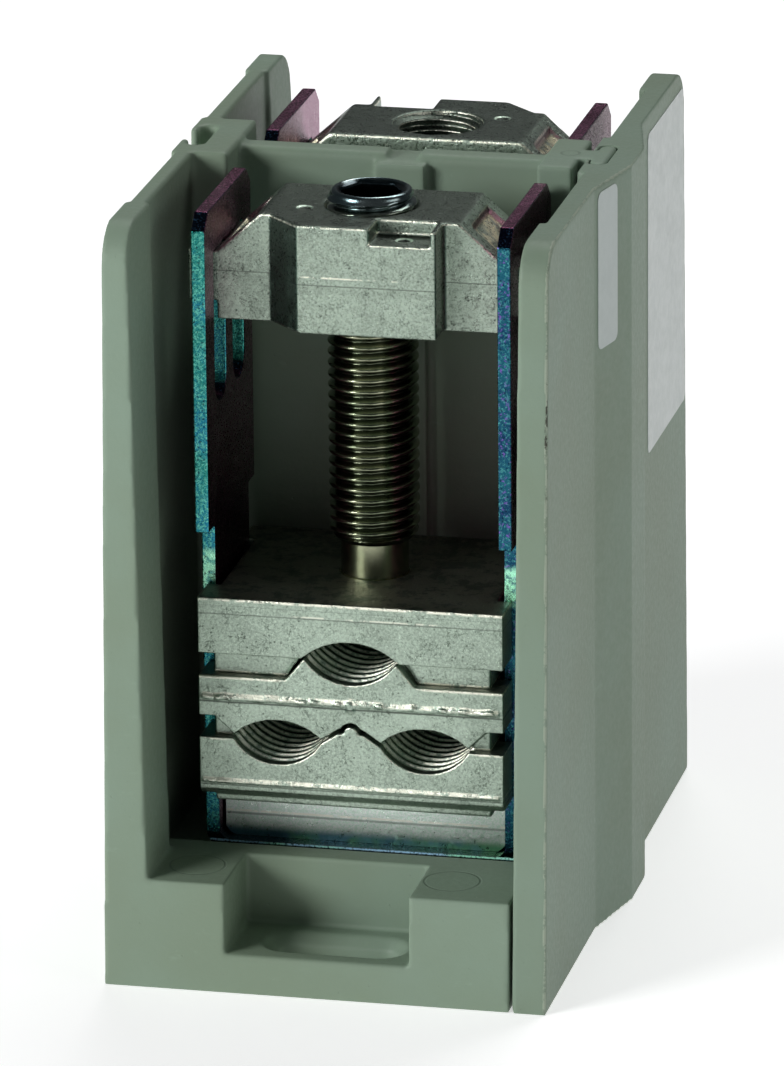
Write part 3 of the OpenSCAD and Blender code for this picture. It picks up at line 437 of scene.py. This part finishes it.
GREY = (0.215, 0.292, 0.225)
TIN = (0.405, 0.495, 0.41)
CLAMP_X = (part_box("front_frame")[0].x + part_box("front_frame")[1].x) / 2
FRONT_Y = (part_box("front_frame")[0].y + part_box("front_frame")[1].y) / 2
REAR_Y = (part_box("rear_frame")[0].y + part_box("rear_frame")[1].y) / 2
FRONT_TOP, REAR_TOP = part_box("front_screw")[1].z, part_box("rear_screw")[1].z
MATS = {
    "housing": plastic("housing_plastic", GREY, 0.35, False, [
        (-0.0265, -0.0561, 0.0049), (0.0191, -0.0556, 0.0049), (0.0292, 0.0, 0.0016)]),
    "cover": plastic("cover_plastic", tuple(c * 0.93 for c in GREY), 0.4, True),
    # Each casting below gets parting lines, then painted highlight lines; the bridge also gets painted-shade dimples,
    # painted ledge highlights and its top_shade.
    "pressure": casting("pressure_plate_metal", TIN, 0.36, [(0.0637, 0.0002, 0.6), (0.0652, 0.0001, 0.35)],
                        [(0.0640, 0.00022, 0.6, -0.012, 0.016), (0.0526, 0.00035, 1.0, -0.03, 0.03), (0.0664, 0.0005, 1.0, -0.03, 0.03)]),
    "middle": casting("middle_plate_metal", TIN, 0.36, [(0.0475, 0.00025, 0.95)],
                      [(0.0484, 0.00035, 0.35, -0.03, 0.03), (0.0411, 0.0003, 1.0, -0.03, 0.03),
                       (0.0521, 0.0005, 0.9, -0.03, CLAMP_X - 0.0118), (0.0521, 0.0005, 0.9, CLAMP_X + 0.0118, 0.03)]),
    "lower": casting("lower_plate_metal", TIN, 0.36, [(0.0321, 0.00016, 0.7), (0.0312, 0.00016, 0.6)],
                     [(0.0328, 0.00016, 0.7, -0.03, 0.03),
                      (0.0406, 0.0003, 0.8, -0.03, CLAMP_X - 0.0212), (0.0406, 0.0003, 0.8, CLAMP_X + 0.0212, 0.03)]),
    "bridge": casting("tinned_casting", tuple(c * 0.85 for c in TIN), 0.3, [(0.1229, 0.00018, 0.7), (0.1220, 0.0009, 0.12)],
                      [(0.1243, 0.00022, 0.8, -0.0105, 0.008)],
                      [(CLAMP_X - 0.0109, FRONT_Y - 0.0046), (CLAMP_X + 0.0084, FRONT_Y - 0.01195),
                       (CLAMP_X + 0.0109, REAR_Y + 0.0046), (CLAMP_X - 0.0084, REAR_Y + 0.01195)],
                      [(CLAMP_X + side * 0.0216, y + turn * 0.0005, 0.0028, 0.0068)
                       for side in (-1, 1) for y, turn in ((FRONT_Y, 1), (REAR_Y, -1))], 0.13),
    # The bore's thread is the same tinned casting with its tint darkened to 0.4: painted shade inside the bore.
    "bore": casting("bore_metal", tuple(c * 0.4 for c in TIN), 0.3),
    "frame": zinc_strap("zinc_strap"),
    "front_screw": screw_steel("front_screw_metal", FRONT_TOP, (CLAMP_X, FRONT_Y)),
    "rear_screw": screw_steel("rear_screw_metal", REAR_TOP, (CLAMP_X, REAR_Y)),
    "bar": bar_metal("tinned_bar"),
    "small_label": film("small_label_film", (0.46, 0.52, 0.50)),
    "large_label": film("large_label_film", (0.50, 0.55, 0.53)),
    "ring": screw_steel("spring_wire"),
}


# ---------------------------------------------------------------- mesh helpers

def clean_copy(node, name):
    """A copy of a CAD node's mesh, with flat faces made whole again."""
    mesh = nodes[node].data.copy()
    mesh.name = name
    bm = bmesh.new()
    bm.from_mesh(mesh)
    bmesh.ops.remove_doubles(bm, verts=bm.verts, dist=2e-6)
    bmesh.ops.dissolve_limit(bm, angle_limit=math.radians(0.6), verts=bm.verts, edges=bm.edges, delimit=set())
    bm.to_mesh(mesh)
    bm.free()
    mesh.materials.clear()
    return mesh


def show(mesh, name, body, material, nodes_replaced=()):
    obj = bpy.data.objects.new(name, mesh)
    bpy.context.scene.collection.objects.link(obj)
    mesh.materials.clear()
    mesh.materials.append(material)
    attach(obj, body)
    if nodes_replaced:
        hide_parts(*nodes_replaced)
    return obj


def set_smooth(mesh, degrees=35):
    mesh.shade_smooth()
    mesh.set_sharp_from_angle(angle=math.radians(degrees))


def bevelled(node, material, width, segments=3, angle=28, shortest=0.0, clamp=False):
    """The CAD node with its edges rounded. Edges shorter than shortest stay sharp."""
    mesh = clean_copy(node, node + "_shape")
    bm = bmesh.new()
    bm.from_mesh(mesh)
    layer = bm.edges.layers.float.new("bevel_weight_edge")
    for e in bm.edges:
        if len(e.link_faces) == 2 and e.calc_face_angle(0) > math.radians(angle) and e.calc_length() > shortest:
            e[layer] = 1.0
    bm.to_mesh(mesh)
    bm.free()
    obj = show(mesh, node + "_part", node_body[node], material, [node])
    mod = obj.modifiers.new("round", "BEVEL")
    mod.width = width
    mod.segments = segments
    mod.limit_method = "WEIGHT"
    mod.use_clamp_overlap = clamp
    mod.harden_normals = True
    mod.miter_outer = "MITER_ARC"
    set_smooth(mesh, 30)
    return obj


def apply_modifiers(obj):
    mesh = bpy.data.meshes.new_from_object(obj.evaluated_get(bpy.context.evaluated_depsgraph_get()))
    obj.modifiers.clear()
    old = obj.data
    obj.data = mesh
    bpy.data.meshes.remove(old)


def add_box(bm, lo, hi):
    made = bmesh.ops.create_cube(bm, size=1)["verts"]
    for v in made:
        v.co = Vector([lo[i] + (v.co[i] + 0.5) * (hi[i] - lo[i]) for i in range(3)])


def cast(node, material, voxel, passes=3, keep=0.35, extra=None):
    """The CAD node as a casting: its solid rebuilt on a fine grid, with every edge softened."""
    mesh = nodes[node].data.copy()
    mesh.name = node + "_shape"
    bm = bmesh.new()
    bm.from_mesh(mesh)
    bmesh.ops.remove_doubles(bm, verts=bm.verts, dist=2e-6)
    if extra:
        extra(bm)
    bm.to_mesh(mesh)
    bm.free()
    obj = show(mesh, node + "_part", node_body[node], material, [node])
    remesh = obj.modifiers.new("grid", "REMESH")
    remesh.mode = "VOXEL"
    remesh.voxel_size = voxel
    soft = obj.modifiers.new("soften", "SMOOTH")
    soft.factor, soft.iterations = 0.5, passes
    thin = obj.modifiers.new("thin", "DECIMATE")
    thin.ratio = keep
    bpy.context.view_layer.update()
    apply_modifiers(obj)
    obj.data.shade_smooth()
    obj.data.materials.clear()
    obj.data.materials.append(material)
    return obj


# ---------------------------------------------------------------- screws

PITCH, CREST, DEPTH = 2.0, 8.0, 1.15


def thread_radius(z, turn, z_ref):
    """Radius of a right-hand thread with round crests and roots, at a height and an angle."""
    phase = ((z - z_ref) / PITCH - turn) % 1.0
    share = abs(phase - 0.5) * 2
    wave = min(1.0, max(0.0, (share - 0.12) / 0.76))
    wave = wave * wave * (3 - 2 * wave) * 0.55 + wave * 0.45
    return CREST - DEPTH * wave


def ring_grid(rows, name, capped=True):
    """A mesh of rings. Each row is (radius for each step, height). Without caps, the last ring joins the first."""
    steps = len(rows[0][0])
    bm = bmesh.new()
    rings = []
    for radii, z in rows:
        ring = []
        for i, r in enumerate(radii):
            a = 2 * math.pi * i / steps
            ring.append(bm.verts.new((r * math.cos(a) * MM, r * math.sin(a) * MM, z * MM)))
        rings.append(ring)
    for low, high in zip(rings, rings[1:] + ([] if capped else rings[:1])):
        for i in range(steps):
            j = (i + 1) % steps
            bm.faces.new((low[i], low[j], high[j], high[i]))
    if capped:
        bm.faces.new(list(reversed(rings[0])))
        bm.faces.new(rings[-1])
    mesh = bpy.data.meshes.new(name)
    bm.to_mesh(mesh)
    bm.free()
    return mesh


def screw(node, x, y, drop, steps=48):
    top, thread_foot, pilot_foot = 136.5 - drop, 72.9 - drop, 61.0 - drop
    z_ref = thread_foot

    def flat(r):
        return [r] * steps

    def hexagon(grow=0.0):
        apothem = 5.0 + grow
        return [apothem / math.cos(((math.tau * i / steps) % (math.pi / 3)) - math.pi / 6) for i in range(steps)]

    rows = [(flat(0.5), pilot_foot), (flat(5.4), pilot_foot), (flat(5.75), pilot_foot + 0.12),
            (flat(5.95), pilot_foot + 0.45), (flat(6.0), pilot_foot + 0.8), (flat(6.0), thread_foot - 0.5),
            (flat(6.0), thread_foot - 0.1), (flat(6.1), thread_foot), (flat(6.55), thread_foot + 0.02)]
    z = thread_foot + 0.1
    last = top - 0.9
    while z < last:
        fade = min(1.0, (z - thread_foot) / 1.6)
        ceiling = min(CREST, 6.6 + (z - thread_foot) * 0.85, 8.0 - max(0.0, z - (top - 1.9)) * 0.7)
        radii = []
        for i in range(steps):
            r = thread_radius(z, i / steps, z_ref)
            r = CREST - (CREST - r) * (0.35 + 0.65 * fade)
            radii.append(min(r, ceiling))
        rows.append((radii, z))
        z += PITCH / 12
    rim = [(7.25, -0.8), (7.2, -0.62), (7.1, -0.4), (6.95, -0.2), (6.7, -0.06), (6.45, 0.0), (6.3, -0.03)]
    rows += [(flat(r), top + dz) for r, dz in rim]
    cone = [(6.15, -0.14), (5.95, -0.34)]
    rows += [(flat(r), top + dz) for r, dz in cone]
    rows += [([min(5.9, h) for h in hexagon(0.25)], top - 0.5), ([min(5.8, h) for h in hexagon(0.02)], top - 0.8),
             ([min(5.774, h) for h in hexagon()], top - 1.0), (hexagon(), top - 1.6), (hexagon(), top - 9.0),
             (flat(0.5), top - 10.2)]
    mesh = ring_grid(rows, node + "_shape")
    mesh.transform(Matrix.Translation((x, y, 0)))
    obj = show(mesh, node + "_part", node_body[node], MATS[node], [node])
    set_smooth(mesh, 40)
    return obj


def bore_thread(bay, x, y, drop, steps=64):
    """The thread inside a bridge's bore, on the same helix as its screw and 0.1 mm clear of it."""
    z_ref = 72.9 - drop
    foot, top = 114.3, 133.3
    rows = [([8.4] * steps, top), ([8.4] * steps, foot)]
    z = foot
    while z < top:
        open_end = max(0.0, 1.0 - (top - z) / 0.8, 1.0 - (z - foot) / 0.8)
        rows.append(([max(thread_radius(z, i / steps, z_ref) + 0.1, 7.0 + 1.2 * open_end) for i in range(steps)], z))
        z += PITCH / 10
    rows.append(([8.25] * steps, top))
    mesh = ring_grid(rows, bay + "_bore_shape", False)
    mesh.transform(Matrix.Translation((x, y, 0)))
    show(mesh, bay + "_bore_thread", "root", MATS["bore"])
    set_smooth(mesh, 60)


# ---------------------------------------------------------------- the pieces

def plate_beads(node):
    """Raised parting beads along a plate's outer lip, ragged where the casting was trimmed."""
    lo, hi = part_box(node)
    outer = -1 if (lo.y + hi.y) < 0 else 1
    face = lo.y if outer < 0 else hi.y
    middle = (lo.x + hi.x) / 2
    rng = random.Random(7)

    def strip(bm, z0, z1, proud, ragged):
        x = lo.x + 0.0008
        while x < hi.x - 0.0008:
            step = rng.uniform(0.0004, 0.0013)
            reach = proud * rng.uniform(1 - ragged, 1)
            up = (z1 - z0) * ragged * rng.uniform(-0.35, 0.35)
            ya, yb = sorted((face - outer * 0.0005, face + outer * reach))
            add_box(bm, (x - 0.0001, ya, z0 + up), (min(x + step, hi.x - 0.0008), yb, z1 + up))
            x += step

    def knob(bm, z, radius):
        made = bmesh.ops.create_icosphere(bm, subdivisions=3, radius=radius)["verts"]
        for v in made:
            v.co = Vector((middle + v.co.x, face - outer * 0.0004 + v.co.y * 0.8, z + v.co.z))

    def add(bm):
        if "middle" in node:
            strip(bm, 0.0480, 0.0487, 0.00055, 0.6)
            knob(bm, 0.0476, 0.0011)
        elif "lower" in node:
            strip(bm, 0.0326, 0.0330, 0.00028, 0.15)
            knob(bm, 0.0328, 0.0007)
    return add


cast("housing", MATS["housing"], 0.42 * MM, 4, 0.1)
cast("end_cover", MATS["cover"], 0.4 * MM, 4, 0.14)
for bay in ("front", "rear"):
    bevelled(bay + "_frame", MATS["frame"], 0.3 * MM, 2, 28, 0.6 * MM)
    cast(bay + "_bridge", MATS["bridge"], (0.27 if bay == "front" else 0.36) * MM, 10, 0.35)
for bay, voxel in (("front", 0.24), ("rear", 0.4)):
    cast(bay + "_pressure_plate", MATS["pressure"], voxel * MM, 5, 0.3, plate_beads(bay + "_pressure_plate"))
    cast(bay + "_lower_plate", MATS["lower"], voxel * MM, 5, 0.3, plate_beads(bay + "_lower_plate"))
cast("front_middle_plate", MATS["middle"], 0.24 * MM, 5, 0.3, plate_beads("front_middle_plate"))
bevelled("current_bar", MATS["bar"], 0.5 * MM, 2, 40, 0.4 * MM)
for bay, y, drop in (("front", FRONT_Y, 0.0), ("rear", REAR_Y, (FRONT_TOP - REAR_TOP) / MM)):
    screw(bay + "_screw", CLAMP_X, y, drop)
    bore_thread(bay, CLAMP_X, y, drop)
for label in ("small_label", "large_label"):
    mesh = clean_copy(label, label + "_shape")
    bm = bmesh.new()
    bm.from_mesh(mesh)
    corners = [e for e in bm.edges if e.calc_length() < 0.0002]
    bmesh.ops.bevel(bm, geom=corners, offset=1.5 * MM, segments=6, profile=0.5, affect="EDGES")
    bm.to_mesh(mesh)
    bm.free()
    show(mesh, label + "_part", node_body[label], MATS[label], [label])
for ring in ("front_snap_ring", "rear_snap_ring"):
    mesh = clean_copy(ring, ring + "_shape")
    show(mesh, ring + "_part", node_body[ring], MATS["ring"], [ring])
    set_smooth(mesh, 50)

# ---------------------------------------------------------------- stage

floor_mesh = bpy.data.meshes.new("floor")
bm = bmesh.new()
bmesh.ops.create_grid(bm, x_segments=2, y_segments=2, size=4)
bm.to_mesh(floor_mesh)
bm.free()
floor = bpy.data.objects.new("floor", floor_mesh)
floor.location = (0, 0.5, cad_lo.z - 0.00005)
floor_mesh.materials.append(floor_paint("floor_paint"))
bpy.context.scene.collection.objects.link(floor)

world = bpy.data.worlds.new("studio")
world.use_nodes = True
world.node_tree.nodes["Background"].inputs["Color"].default_value = (0.9, 0.97, 1.0, 1)
world.node_tree.nodes["Background"].inputs["Strength"].default_value = 0.07
bpy.context.scene.world = world
area_light("key", (-1.3, -1.3, 0.75), (0, 0, 0.06), (0.8, 0.6), 28)
area_light("right", (1.7, -0.5, 0.65), (0, 0, 0.06), (1.0, 0.7), 3.5)
area_light("behind", (0.2, 1.2, 1.7), (0, 0.6, 0), (1.4, 0.8), 18)
set_camera()

bpy.context.scene.view_settings.view_transform = "Standard"
